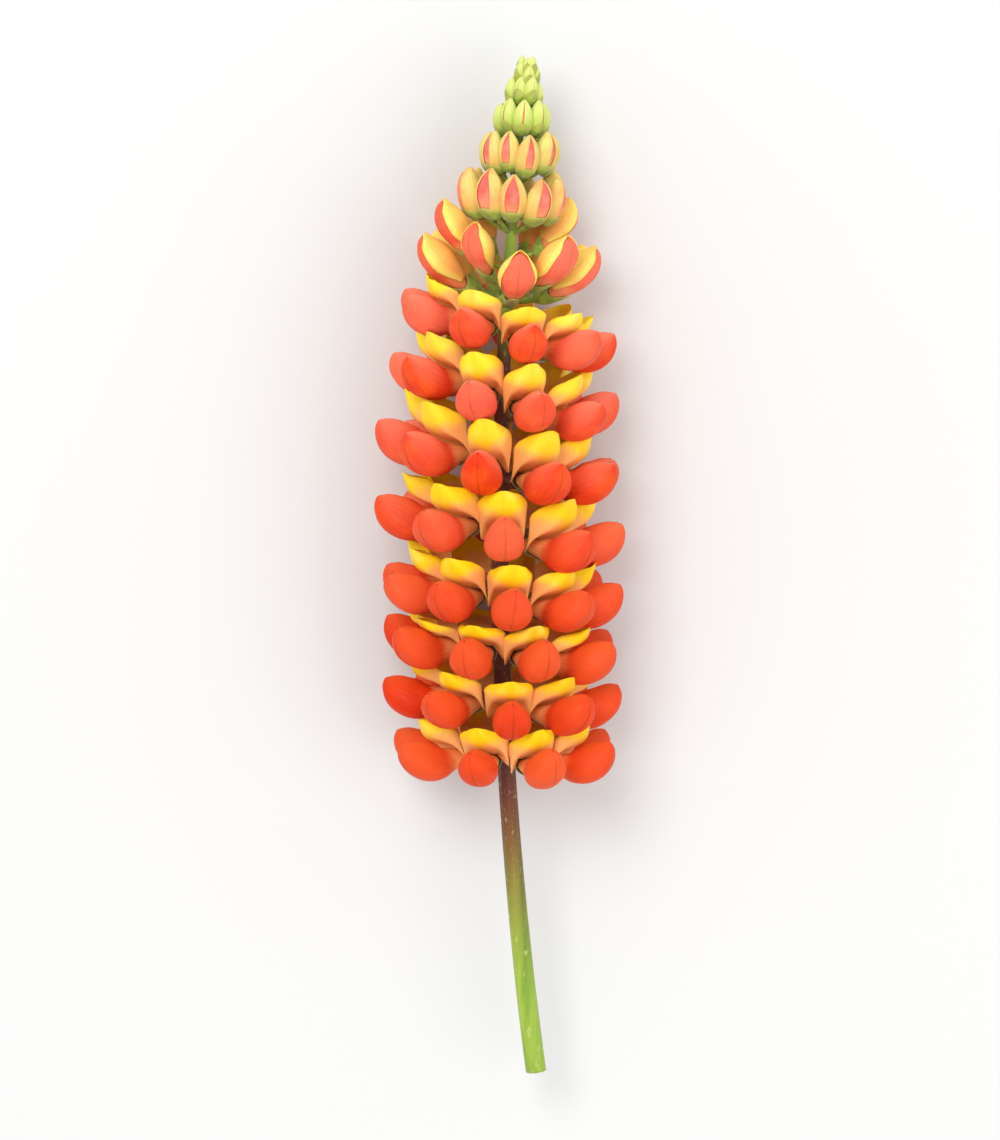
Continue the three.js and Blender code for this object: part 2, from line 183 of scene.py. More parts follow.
# Points along and across each skin.
GRIDS = {
    "wing": (34, 22), "keel": (16, 10), "banner": (40, 49), "hood": (30, 37),
    "calyx": (14, 36), "stalk": (12, 12), "bud": (26, 33), "bud_cup": (10, 20),
    "bud_stalk": (9, 20), "core": (60, 24), "stem": (300, 48), "ring": (11, 40),
}
BUD_CORE_SIDES = 20
CUT_SIDES = 48
CALYX_HAIRS = {"count": 60, "length": 0.9}
BUD_HAIRS = {"count": 26, "length": 0.75}
STEM_HAIRS = {"count": 2600, "length": 0.7, "seed": 7}

# ---- the stem's shapes

# A whorl's swollen ring: half its length, how deep it sits in the stem and how far it bulges.
RING = {"half": 1.9, "sunk": 0.2, "bulge": 1.05, "lobes": 8, "lobe": 0.12}
RIBS = {"core": 0.05, "stem": 0.06}
KNOT_SPREAD = 2.2
# The cut face from its skin to its centre: the share of the radius and how far it stands out.
CUT_RINGS = [
    (0.9, -1.2), (0.955, -0.1), (0.93, 0.04), (0.86, 0.07), (0.78, 0.04), (0.66, 0.06),
    (0.54, 0.05), (0.4, 0.02), (0.26, 0), (0.12, -0.03), (0.03, -0.04),
]

# ---- curves and frames


def smooth(points, samples):
    """The natural cubic spline through points, which lie along axis 0, at samples from 0 to 1."""
    points = np.asarray(points, float)
    last = len(points) - 1
    system = 4 * np.eye(last + 1) + np.eye(last + 1, k=1) + np.eye(last + 1, k=-1)
    system[[0, last]] = 0
    system[0, 0] = system[last, last] = 1
    pull = np.zeros_like(points)
    pull[1:last] = 6 * (points[:-2] - 2 * points[1:-1] + points[2:])
    bend = np.linalg.solve(system, pull.reshape(last + 1, -1)).reshape(points.shape)
    at = np.clip(np.asarray(samples, float), 0, 1) * last
    k = np.minimum(at.astype(int), last - 1)
    t = (at - k).reshape((-1,) + (1,) * (points.ndim - 1))
    s = 1 - t
    curved = ((s**3 - s) * bend[k] + (t**3 - t) * bend[k + 1]) / 6
    return s * points[k] + t * points[k + 1] + curved


def unit(vectors):
    return vectors / np.maximum(np.linalg.norm(vectors, axis=-1, keepdims=True), 1e-9)


def fade(value, low, high):
    """0 below low, 1 above high and smooth between them."""
    t = np.clip((value - low) / (high - low), 0, 1)
    return t * t * (3 - 2 * t)


def bell(value, spread):
    """1 where value is 0, and less and less within spread on either side."""
    return np.exp(-((value / spread) ** 2))


def toward_tip(count, crowding):
    """Shares from 0 to 1 that stand closer together near 1."""
    return 1 - (1 - np.linspace(0, 1, count)) ** crowding


def circle(count):
    return 2 * np.pi * np.arange(count) / count


def turned_from(angles, middle):
    """Angles as they are seen from middle, between -pi and pi."""
    return (angles - middle + np.pi) % (2 * np.pi) - np.pi


def stem_point(station):
    bow = ((station - BOW["at"]) / BOW["at"]) ** 2
    return np.array([BOW["aside"] * bow, CUT_END / 2 - station, AXIS_HEIGHT - BOW["down"] * bow])


def stem_frame(station):
    """Along the stem to the tip, up from the table, and aside."""
    slope = 2 * (station - BOW["at"]) / BOW["at"] ** 2
    along = unit(np.array([-BOW["aside"] * slope, 1, BOW["down"] * slope]))
    up = unit(np.array([0, 0, 1]) - along * along[2])
    return along, up, np.cross(along, up)


def spokes(station, angles):
    """Directions square to the stem, at angles that go from up to aside."""
    _, up, aside = stem_frame(station)
    return up * np.cos(angles)[:, None] + aside * np.sin(angles)[:, None]


def tapered(radius, share):
    return radius["thin"] + (radius["thick"] - radius["thin"]) * share ** radius["taper"]


def stem_radius(station):
    return tapered(STEM_RADIUS, max(0, (station - HEAD_END) / (CUT_END - HEAD_END)))


def core_radius(station):
    return tapered(CORE_RADIUS, station / HEAD_END)


def pressed(points):
    """Points, bent up where the spike's weight presses them on the table."""
    depth = np.maximum(0, PRESS["below"] - points[..., 2])
    points[..., 2] = np.maximum(points[..., 2] + PRESS["strength"] * depth**2, PRESS["lowest"])
    return points


class Floret:
    """Turns a floret's or a bud's own a, b, c into places on the spike."""

    def __init__(self, row, i, station, azimuth, size, lift, wander):
        self.number = 100 * row + i
        stray = {name: reach * self.draw(name) for name, reach in wander.items()}
        self.station = station + stray["along"]
        self.scale = size * (1 + stray["size"])
        along, up, aside = stem_frame(self.station)
        angle = math.radians(azimuth + stray["azimuth"])
        out = up * math.cos(angle) + aside * math.sin(angle)
        basis = np.column_stack([out, along, np.cross(out, along)])
        pitch = Matrix.Rotation(math.radians(lift + stray["pitch"]), 3, "Z")
        roll = Matrix.Rotation(math.radians(stray["roll"]), 3, "X")
        self.turn = basis @ np.array(pitch @ roll) * self.scale
        self.root = stem_point(self.station)

    def draw(self, purpose):
        """A repeatable draw from -1 to 1 for one of DRAWS."""
        seed = self.number * 12.9898 + (DRAWS.index(purpose) + 1) * 78.233
        wave = math.sin(seed) * 43758.5453
        return 2 * (wave - math.floor(wave)) - 1

    def place(self, points):
        return pressed(points @ self.turn.T + self.root)

    def traits(self, **more):
        """What the materials read: this floret's tone, from -1 to 1, and its age down the spike."""
        return {"tone": self.draw("tone"), "age": self.station / FULL_AGE, **more}


# ---- building skins


def seat_shift():
    """From the plan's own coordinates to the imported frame's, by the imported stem's cut end."""
    ring = stem_point(CUT_END) + STEM_RADIUS["thick"] * spokes(CUT_END, circle(STEM_SIDES))
    low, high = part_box("stem")
    return np.array([high.x / MM - ring[:, 0].max(), low.y / MM - ring[:, 1].min(), 0])


SHIFT = seat_shift()
TRAITS = ("along", "across", "tone", "age")


def grid_quads(rows, columns, closed=False):
    """The faces of a grid of points. With closed, its last column meets its first."""
    row = columns * np.arange(rows - 1)[:, None]
    column = np.arange(columns if closed else columns - 1)[None, :]
    beside = (column + 1) % columns
    corners = [row + column, row + beside, row + columns + beside, row + columns + column]
    return np.stack(corners, -1).reshape(-1, 4)


def grid_normals(grid, closed=False):
    side = np.roll(grid, -1, axis=1) - np.roll(grid, 1, axis=1) if closed else np.gradient(grid, axis=1)
    return unit(np.cross(side, np.gradient(grid, axis=0)))


def spread(traits, rows, columns):
    """Every trait as a value for each point of a grid."""
    return {name: np.broadcast_to(value, (rows, columns)) for name, value in traits.items()}


class Piece:
    """Collects closed skins into one named object. Its looks are names in MATERIALS."""

    def __init__(self, name, *looks):
        self.name, self.looks = name, looks
        self.points, self.faces, self.marks, self.slots = [], [], [], []
        self.count = 0

    def add(self, points, faces, traits, material=0):
        points = points.reshape(-1, 3)
        for group in faces:
            self.faces.extend((group + self.count).tolist())
            self.slots.extend([material] * len(group))
        marks = [np.broadcast_to(traits.get(name, 0), len(points)) for name in TRAITS]
        self.points.append(points)
        self.marks.append(np.stack(marks, 1))
        self.count += len(points)

    def shell(self, grid, thickness, traits, closed=False):
        """A sheet of its own thickness round the grid, with a rim on each open side."""
        rows, columns = grid.shape[:2]
        half = np.broadcast_to(thickness, (rows, columns))[..., None] / 2
        lift = grid_normals(grid, closed) * half
        count = rows * columns
        outer = grid_quads(rows, columns, closed)
        index = np.arange(count).reshape(rows, columns)
        rims = [index[0][::-1], index[-1]] if closed else [
            np.concatenate([index[0, ::-1], index[1:, 0], index[-1, 1:], index[-2:0:-1, -1]]),
        ]
        bands = []
        for rim in rims:
            after = np.roll(rim, -1)
            bands.append(np.stack([rim, after, after + count, rim + count], 1))
        both = {name: np.tile(value.ravel(), 2) for name, value in spread(traits, rows, columns).items()}
        self.add(np.stack([grid + lift, grid - lift]), [outer, outer[:, ::-1] + count, *bands], both)

    def loft(self, rings, traits, material=0):
        """A closed body through rings of points, with a middle point at each end."""
        rows, columns = rings.shape[:2]
        count = rows * columns
        around = np.arange(columns)
        beside = (around + 1) % columns
        last = count - columns
        faces = [
            grid_quads(rows, columns, closed=True),
            np.stack([np.full(columns, count), beside, around], 1),
            np.stack([np.full(columns, count + 1), last + around, last + beside], 1),
        ]
        outward = rings - rings.mean(1, keepdims=True)
        if (grid_normals(rings, closed=True) * outward).sum() < 0:
            faces = [group[:, ::-1] for group in faces]
        whole = {}
        for name, value in spread(traits, rows, columns).items():
            whole[name] = np.append(value, value[[0, -1]].mean(1))
        points = np.concatenate([rings.reshape(-1, 3), rings[[0, -1]].mean(1)])
        self.add(points, faces, whole, material)

    def build(self, node, slot):
        """The object, on the frame's body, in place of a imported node."""
        mesh = bpy.data.meshes.new(self.name)
        mesh.from_pydata(((np.concatenate(self.points) + SHIFT) * MM).tolist(), [], self.faces)
        marks = np.concatenate(self.marks)
        for k, trait in enumerate(TRAITS):
            layer = mesh.attributes.new(trait, "FLOAT", "POINT")
            layer.data.foreach_set("value", marks[:, k].astype(np.float32))
        mesh.polygons.foreach_set("use_smooth", [True] * len(mesh.polygons))
        for look in self.looks:
            mesh.materials.append(MATERIALS[look])
        mesh.polygons.foreach_set("material_index", self.slots)
        mesh.update()
        piece = bpy.data.objects.new(self.name, mesh)
        scene.collection.objects.link(piece)
        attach(piece, "root")
        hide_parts(node)


def hairs(piece, roots, directions, length, radius, traits):
    """Fine three-sided hairs that taper to a point."""
    directions = unit(directions)
    aside = unit(np.cross(directions, np.array([0.3, 0.5, 0.81])))
    other = np.cross(directions, aside)
    corners = [roots + radius * (aside * math.cos(t) + other * math.sin(t)) for t in circle(3)]
    points = np.stack([*corners, roots + directions * length[:, None]], 1)
    points[..., 2] = np.maximum(points[..., 2], 0.05)
    start = 4 * np.arange(len(roots))[:, None, None]
    sides = np.array([[0, 1, 3], [1, 2, 3], [2, 0, 3], [0, 2, 1]])
    piece.add(points, [(start + sides).reshape(-1, 3)], traits)


# ---- parts of a floret


def line_rings(rings, along):
    """Centres, directions, half heights and half widths at shares of the way along the rings."""
    a, b, height, width = smooth(rings, along).T
    fine = 1e-3
    ahead = smooth(rings, np.minimum(along + fine, 1))[:, :2]
    behind = smooth(rings, np.maximum(along - fine, 0))[:, :2]
    return np.stack([a, b], 1), unit(ahead - behind), height, width


def round_line(centres, directions, rise, width):
    """Points beside a line in the a, b plane: rise square to it and width across."""
    a = centres[:, None, 0] - directions[:, None, 1] * rise
    b = centres[:, None, 1] + directions[:, None, 0] * rise
    return np.stack([a, b, np.broadcast_to(width, a.shape)], -1)


def tube(centres, radius, sides):
    """Rings round a line in the a, b plane, with a radius for each of its centres."""
    angles = circle(sides)
    rise, width = radius[:, None] * np.sin(angles), radius[:, None] * np.cos(angles)
    return round_line(centres, unit(np.gradient(centres, axis=0)), rise, width)


def cup_grid(centres, directions, height, width, angles, rows):
    """A cup's points, row after row, where every point has its own place along the line."""
    around = np.tile(angles, rows)
    rise, aside = height * np.sin(around), width * np.cos(around)
    points = round_line(centres, directions, rise[:, None], aside[:, None])
    return points.reshape(rows, len(angles), 3)


def sheet(kind, thinning):
    """A sheet's thickness, from its middle's where thinning is 0 to its margin's at 1."""
    middle, margin = SHEETS[kind]
    return middle - (middle - margin) * thinning


def pear(angle, along):
    return 1 - PEAR * np.sin(angle) * fade(along, 0.25, 0.8)


def wing_pair(piece, floret, rings, gap, bend=0.0):
    """Two inflated petals. Their lower margins overlap, and gap parts the upper ones' bases."""
    rows, columns = GRIDS["wing"]
    shares = toward_tip(rows, 1.35)
    centres, directions, height, width = line_rings(rings, shares)
    centres[:, 1] += bend * floret.draw("bend") * shares**2
    along, height, width = shares[:, None], height[:, None], width[:, None]
    around = np.linspace(0, 1, columns)[None, :]
    angle = np.pi * (around - 0.5)
    top = fade(around, 0.86, 1)
    apart = 0.5 * gap * (1 - fade(along, 0.1, 0.55)) * top
    overlap = WING_PAIR["overlap"] * width * bell(around, 0.2)
    thickness = sheet("wing", np.maximum(bell(around, 0.06), fade(around, 0.9, 1)))
    phase = math.pi * floret.draw("waves")
    for side in (-1, 1):
        puff = 1 + WING_PAIR["puff"] * np.sin(9 * along + 5 * around + phase * side)
        puff = puff + WING_PAIR["fine_puff"] * np.sin(17 * along - 9 * around - phase)
        rise = height * (np.sin(angle) * puff + WING_PAIR["ridge"] * top)
        across = width * np.cos(angle) ** 0.86 * pear(angle, along) * puff
        across = np.maximum(across, apart) - overlap
        grid = floret.place(round_line(centres, directions, rise, side * across))
        traits = floret.traits(along=along, across=around[:, ::side])
        piece.shell(grid[:, ::side], thickness[:, ::side], traits)


def keel(piece, floret, rings):
    """The narrow boat between the wings. Only its back shows, in the slit between them."""
    rows, columns = GRIDS["keel"]
    along = np.linspace(KEEL["from"], KEEL["to"], rows)
    centres, directions, height, width = line_rings(rings, along)
    angles = circle(columns)
    rise = height[:, None] * (KEEL["height"] * np.sin(angles) + KEEL["raised"])
    across = KEEL["width"] * width[:, None] * np.cos(angles)
    grid = floret.place(round_line(centres, directions, rise, across))
    piece.loft(grid, floret.traits(along=along[:, None], across=0.5), material=1)


def calyx(piece, fuzz, floret, rings, lips):
    """A downy cup with a long lower lip and a shorter, notched upper one."""
    rows, columns = GRIDS["calyx"]
    angles = circle(columns) - np.pi / 2
    below = bell(turned_from(angles, -np.pi / 2), 0.75)
    from_top = turned_from(angles, np.pi / 2)
    above = bell(from_top, 0.7) * (1 - 0.35 * bell(from_top, 0.12))
    side = lips["side"]
    reach = side + (lips["lower"] - side) * below + (lips["upper"] - side) * above
    along = np.linspace(0, 1, rows)[:, None]
    share = along * reach
    grid = floret.place(cup_grid(*line_rings(rings, share.reshape(-1)), angles, rows))
    traits = floret.traits(along=share, across=0.5 + 0.5 * np.sin(angles))
    piece.shell(grid, sheet("calyx", fade(along, 0.5, 1)), traits, closed=True)
    down_hairs(fuzz, floret, grid, **CALYX_HAIRS)


def stalk(piece, floret, end, start, sink=0):
    """The floret's own stalk, from the ring on the stem to the calyx, thicker at both ends.

    start is its distance from the axis and sink how much lower than the ring the floret is.
    """
    start, rise = start / floret.scale, sink / floret.scale - 0.5
    sag = 0.25 * floret.draw("sag") - 0.08 * abs(sink)
    middle = ((start + end[0]) / 2, (end[1] + rise) / 2 + sag)
    rows, columns = GRIDS["stalk"]
    along = np.linspace(0, 1, rows)
    radius = 0.72 + 0.3 * bell(along, 0.1) + 0.25 * fade(along, 0.75, 1)
    rings = tube(smooth([(start, rise), middle, end], along), radius, columns)
    piece.loft(floret.place(rings), floret.traits(along=0.6 * (along[:, None] - 1), across=0.5))


def down_hairs(piece, floret, grid, count, length):
    """Silky hairs that lie forward on a calyx, drawn evenly from its points."""
    rng = np.random.default_rng(1000 + floret.number)
    normals = grid_normals(grid, closed=True).reshape(-1, 3)
    forward = np.gradient(grid, axis=0).reshape(-1, 3)
    picks = rng.integers(0, len(normals), count)
    roots = grid.reshape(-1, 3)[picks] + rng.normal(0, 0.12, (count, 3))
    lean = 0.75 * normals[picks] + 0.8 * unit(forward[picks]) + rng.normal(0, 0.25, (count, 3))
    lengths = length * rng.uniform(0.6, 1.2, count)
    hairs(piece, roots, lean, lengths, 0.028, floret.traits(along=0.5))


def banner_net(scale, half, crest):
    """The banner's control points from margin to margin, for a crest's b and half a spacing."""
    net = []
    for free, margin in zip(BANNER_FREE, BANNER_MARGIN):
        row = list(free)
        for distance, b, share in margin:
            angle = half * share
            row.append((distance / scale * math.cos(angle), b, distance / scale * math.sin(angle)))
        net.append(row)
    net = np.array(net, float)
    above = np.maximum(net[..., 1] - BANNER_SHOULDER, 0)
    net[..., 1] -= above * (1 - (crest - BANNER_SHOULDER) / (BANNER_TOP - BANNER_SHOULDER))
    mirrored = net[:, :0:-1] * np.array([1, 1, -1])
    return np.concatenate([mirrored, net], axis=1)


def banner(piece, floret, spacing, crest):
    """The upright petal: creased down its middle, its sides curved back to the neighbours'."""
    rows, columns = (np.linspace(0, 1, count) for count in GRIDS["banner"])
    grid = smooth(banner_net(floret.scale, spacing / 2, crest), rows)
    grid = smooth(grid.transpose(1, 0, 2), columns).transpose(1, 0, 2)
    along, across = rows[:, None], np.abs(2 * columns - 1)[None, :]
    phase = math.pi * floret.draw("ruffle")
    ruffle = RUFFLE * fade(across, 0.6, 1) * fade(along, 0.3, 0.9) * np.sin(9 * along + 3 * across + phase)
    lip = LIP_RUFFLE * fade(along, 0.86, 1) * fade(across, 0.1, 0.5) * np.sin(7 * across + phase)
    grid = grid + grid_normals(grid) * (ruffle + lip)[..., None]
    thickness = sheet("banner", np.maximum(fade(across, 0.8, 1), fade(along, 0.85, 1)))
    piece.shell(floret.place(grid), thickness, floret.traits(along=along, across=across))


def hood(piece, floret):
    """The banner of a half open floret, still folded over the back of its wings."""
    rows, columns = GRIDS["hood"]
    shares = np.linspace(HOOD["from"], 1, rows)
    centres, directions, height, width = line_rings(EGG, shares)
    along, side = shares[:, None], np.linspace(-1, 1, columns)[None, :]
    across = np.abs(side)
    at_tip = fade(along, 0.8, 1)
    wrap = HOOD["wrap"] * (0.6 + 0.4 * fade(along, 0, 0.45)) * (1 - 0.3 * fade(along, 0.75, 1))
    angles = np.pi / 2 + side * wrap
    clear = HOOD["clear"] + HOOD["clear_tip"] * at_tip + HOOD["clear_margin"] * across**3
    rise = (height[:, None] + clear) * np.sin(angles)
    width = (width[:, None] * pear(angles, along) + clear) * np.cos(angles)
    grid = round_line(centres, directions, rise, width)
    beyond = at_tip * (1 - 0.5 * across)
    grid[..., :2] += beyond[..., None] * directions[:, None]
    thickness = sheet("hood", np.maximum(fade(across, 0.8, 1), fade(along, 0.9, 1)))
    piece.shell(floret.place(grid), thickness, floret.traits(along=along, across=across))


# ---- parts of a bud


def bud_line(grown, across):
    """The shares along a bud, its middle line there, its directions and its half width."""
    foot = np.array([BUD["foot"][0] * across, BUD["foot"][1] * grown])
    tip = np.array([BUD["tip"][0] * across, foot[1] + (BUD["tip"][1] - BUD["foot"][1]) * grown])
    belly = np.array([tip[0] * BUD["belly"], (foot[1] + tip[1]) / 2])
    along = toward_tip(GRIDS["bud"][0], 1.25)
    t = along[:, None]
    line = (1 - t) ** 2 * foot + 2 * t * (1 - t) * belly + t**2 * tip
    shares = smooth(np.array(BUD_SHARES)[:, None], along)[:, 0]
    width = BUD["width"] * grown ** BUD["slimming"] * shares
    return along, line, unit(np.gradient(line, axis=0)), width


def bud_core(piece, floret, shape):
    """The coral wings, which show in the slit of the banner."""
    along, line, _, width = shape
    rings = tube(line, BUD["core"] * width, BUD_CORE_SIDES)
    piece.loft(floret.place(rings), floret.traits(along=along[:, None], across=0.5), material=1)


def bud_banner(piece, floret, grown, shape):
    """The cream banner round the wings, with a slit that widens as the bud ripens."""
    along, line, directions, width = shape
    columns = np.linspace(0, 1, GRIDS["bud"][1])
    margin = np.minimum(columns, 1 - columns)
    ripe = fade(grown, 0.66, 0.96) * (0.85 + 0.15 * floret.draw("ripeness"))
    opened = np.sin(np.pi * np.clip((along - 0.06) / 0.94, 0, 1)) ** 0.7
    slit = (BUD_SLIT["young"] + BUD_SLIT["ripe"] * ripe * opened)[:, None]
    angles = slit - np.pi / 2 + 2 * (np.pi - slit) * columns
    wrap = width[:, None] * (1 + 0.04 * ripe * bell(margin, 0.06)) + 0.05
    flat = 1 + 0.06 * np.cos(2 * angles)
    grid = round_line(line, directions, wrap * np.sin(angles), wrap * flat * np.cos(angles))
    traits = floret.traits(along=along[:, None], across=2 * margin)
    piece.shell(floret.place(grid), BUD["sheet"] * max(grown, 0.5), traits)


def bud_cup(piece, fuzz, floret, grown, shape):
    """The calyx, which holds the bud's lower part, and more of it on a young bud."""
    along, line, directions, width = shape
    rows, columns = GRIDS["bud_cup"]
    angles = circle(columns)
    share = np.linspace(0, 1, rows)[:, None]
    hold = 0.2 + 0.4 * (1 - fade(grown, 0.35, 0.9))
    teeth = hold * (1 + 0.35 * np.cos(2 * (angles - np.pi / 2)))
    at = (share * teeth).reshape(-1)
    centres = np.stack([np.interp(at, along, line[:, k]) for k in (0, 1)], 1)
    facing = unit(np.stack([np.interp(at, along, directions[:, k]) for k in (0, 1)], 1))
    size = np.interp(at, along, width) + 0.28 * max(grown, 0.5)
    grid = floret.place(cup_grid(centres, facing, size, size, angles, rows))
    traits = floret.traits(along=share, across=0.5)
    piece.shell(grid, BUD["sheet"] * max(grown, 0.5), traits, closed=True)
    down_hairs(fuzz, floret, grid, **BUD_HAIRS)


def bud_stalk(piece, floret, grown, shape):
    """The bud's short stalk, from inside the stem's slender top to the bud's foot."""
    _, line, directions, _ = shape
    rows, columns = GRIDS["bud_stalk"]
    along = np.linspace(0, 1, rows)
    start = np.array([core_radius(floret.station) * 0.5, -0.2])
    middle = (start + line[0]) / 2 + np.array([0.25, -0.25]) * grown
    radius = (0.62 + 0.5 * fade(along, 0.6, 1)) * max(grown, 0.45)
    end = line[0] + 0.2 * directions[0]
    rings = tube(smooth([start, middle, end], along), radius, columns)
    piece.loft(floret.place(rings), floret.traits(along=0.5 * (along[:, None] - 1), across=0.5))


def bud(petals, green, fuzz, floret, grown, across):
    """A closed bud. grown is its size and across how far out it stands, both 1 in the lowest row."""
    shape = bud_line(grown, across)
    bud_core(petals, floret, shape)
    bud_banner(petals, floret, grown, shape)
    bud_cup(green, fuzz, floret, grown, shape)
    bud_stalk(green, floret, grown, shape)


# ---- parts of the stem


def stem_length(piece, kind, start, end, radius):
    """A finely ribbed length of stem, swollen at the whorls. It gives its stations and rings."""
    rows, columns = GRIDS[kind]
    stations = np.linspace(start, end, rows)
    angles = circle(columns)
    rings = []
    for station in stations:
        knots = sum(bell(station - whorl["station"], KNOT_SPREAD) for whorl in OPEN_WHORLS)
        wall = radius(station) - 0.12 + 0.12 * knots + RIBS[kind] * (np.cos(9 * angles) - 1)
        wall = wall + 0.05 * np.sin(3 * angles + station / 17)
        rings.append(pressed(stem_point(station) + spokes(station, angles) * wall[:, None]))
    rings = np.array(rings)
    piece.loft(rings, {"across": 0.5, "age": stations[:, None] / FULL_AGE})
    return stations, rings


def node_ring(piece, station, tilt=0):
    """The swollen ring that a whorl's stalks spring from."""
    rows, columns = GRIDS["ring"]
    angles = circle(columns)
    along = stem_frame(station)[0]
    hang = -along * tilt * np.sin(angles)[:, None]
    lobes = stem_radius(station) - RING["sunk"] + RING["lobe"] * np.sin(RING["lobes"] * angles + station)
    rings = []
    for share in np.linspace(-1, 1, rows):
        wall = lobes + RING["bulge"] * (1 - share**4)
        centre = stem_point(station) + along * share * RING["half"]
        rings.append(pressed(centre + hang + spokes(station, angles) * wall[:, None]))
    piece.loft(np.array(rings), {"along": -0.6, "across": 0.5, "age": station / FULL_AGE})


# ---- colours


def linear(*rgb):
    """A display colour as the linear one that shaders take."""
    return tuple(((c / 255 + 0.055) / 1.055) ** 2.4 if c > 10 else c / 3294 for c in rgb) + (1,)


def tones(**colours):
    return {name: linear(*rgb) for name, rgb in colours.items()}


PEACH = linear(249, 174, 106)
# flush and pink are the old and young wings' pink. The wing shader paints it as a highlight towards each
# wing's upper tip, and also mixes it in as a tone that differs from floret to floret.
CORAL = tones(
    dark=(180, 26, 6), old=(212, 46, 3), deep=(222, 54, 6), body=(236, 80, 16),
    flush=(246, 116, 58), pink=(252, 136, 112), fresh=(246, 112, 84),
)
KEEL_TONES = tones(base=(250, 205, 110), middle=(245, 150, 60), tip=(120, 20, 40))
YELLOW = tones(
    fresh_low=(248, 188, 30), fresh_high=(252, 212, 56), ripe_low=(240, 166, 4),
    ripe_high=(248, 196, 10), lemon=(254, 222, 26), spot=(252, 226, 110),
    crease=(250, 184, 20), vein=(244, 150, 20),
)
APRICOT = tones(
    low=(247, 168, 88), high=(251, 204, 100), edge=(253, 222, 110), back=(226, 200, 80),
    patch=(250, 142, 84), vein=(240, 130, 40),
)
CREAM = tones(
    low=(228, 190, 100), high=(234, 210, 118), peach=(236, 156, 90), flush=(238, 140, 90),
    young_low=(158, 188, 56), young_high=(218, 226, 124), foot=(168, 180, 76), vein=(214, 150, 80),
)
BUD_PINK = tones(dark=(228, 92, 82), light=(240, 128, 108), foot=(238, 168, 110))
GREEN = tones(
    leaf=(122, 146, 40), leaf_light=(160, 176, 64), tooth=(190, 176, 90),
    stem=(106, 140, 34), stem_light=(156, 182, 62), fleck=(196, 200, 120),
)
MAROON = tones(cup=(96, 34, 20), cup_light=(140, 60, 34), stem=(78, 26, 16), stem_light=(120, 52, 24))
HAIR = tones(dark=(222, 214, 170), light=(240, 232, 200))
PITH = tones(
    centre=(222, 226, 178), middle=(206, 216, 150), bundles=(150, 176, 84),
    outer=(186, 200, 120), skin=(98, 130, 40), grain=(190, 190, 130),
)

# ---- materials


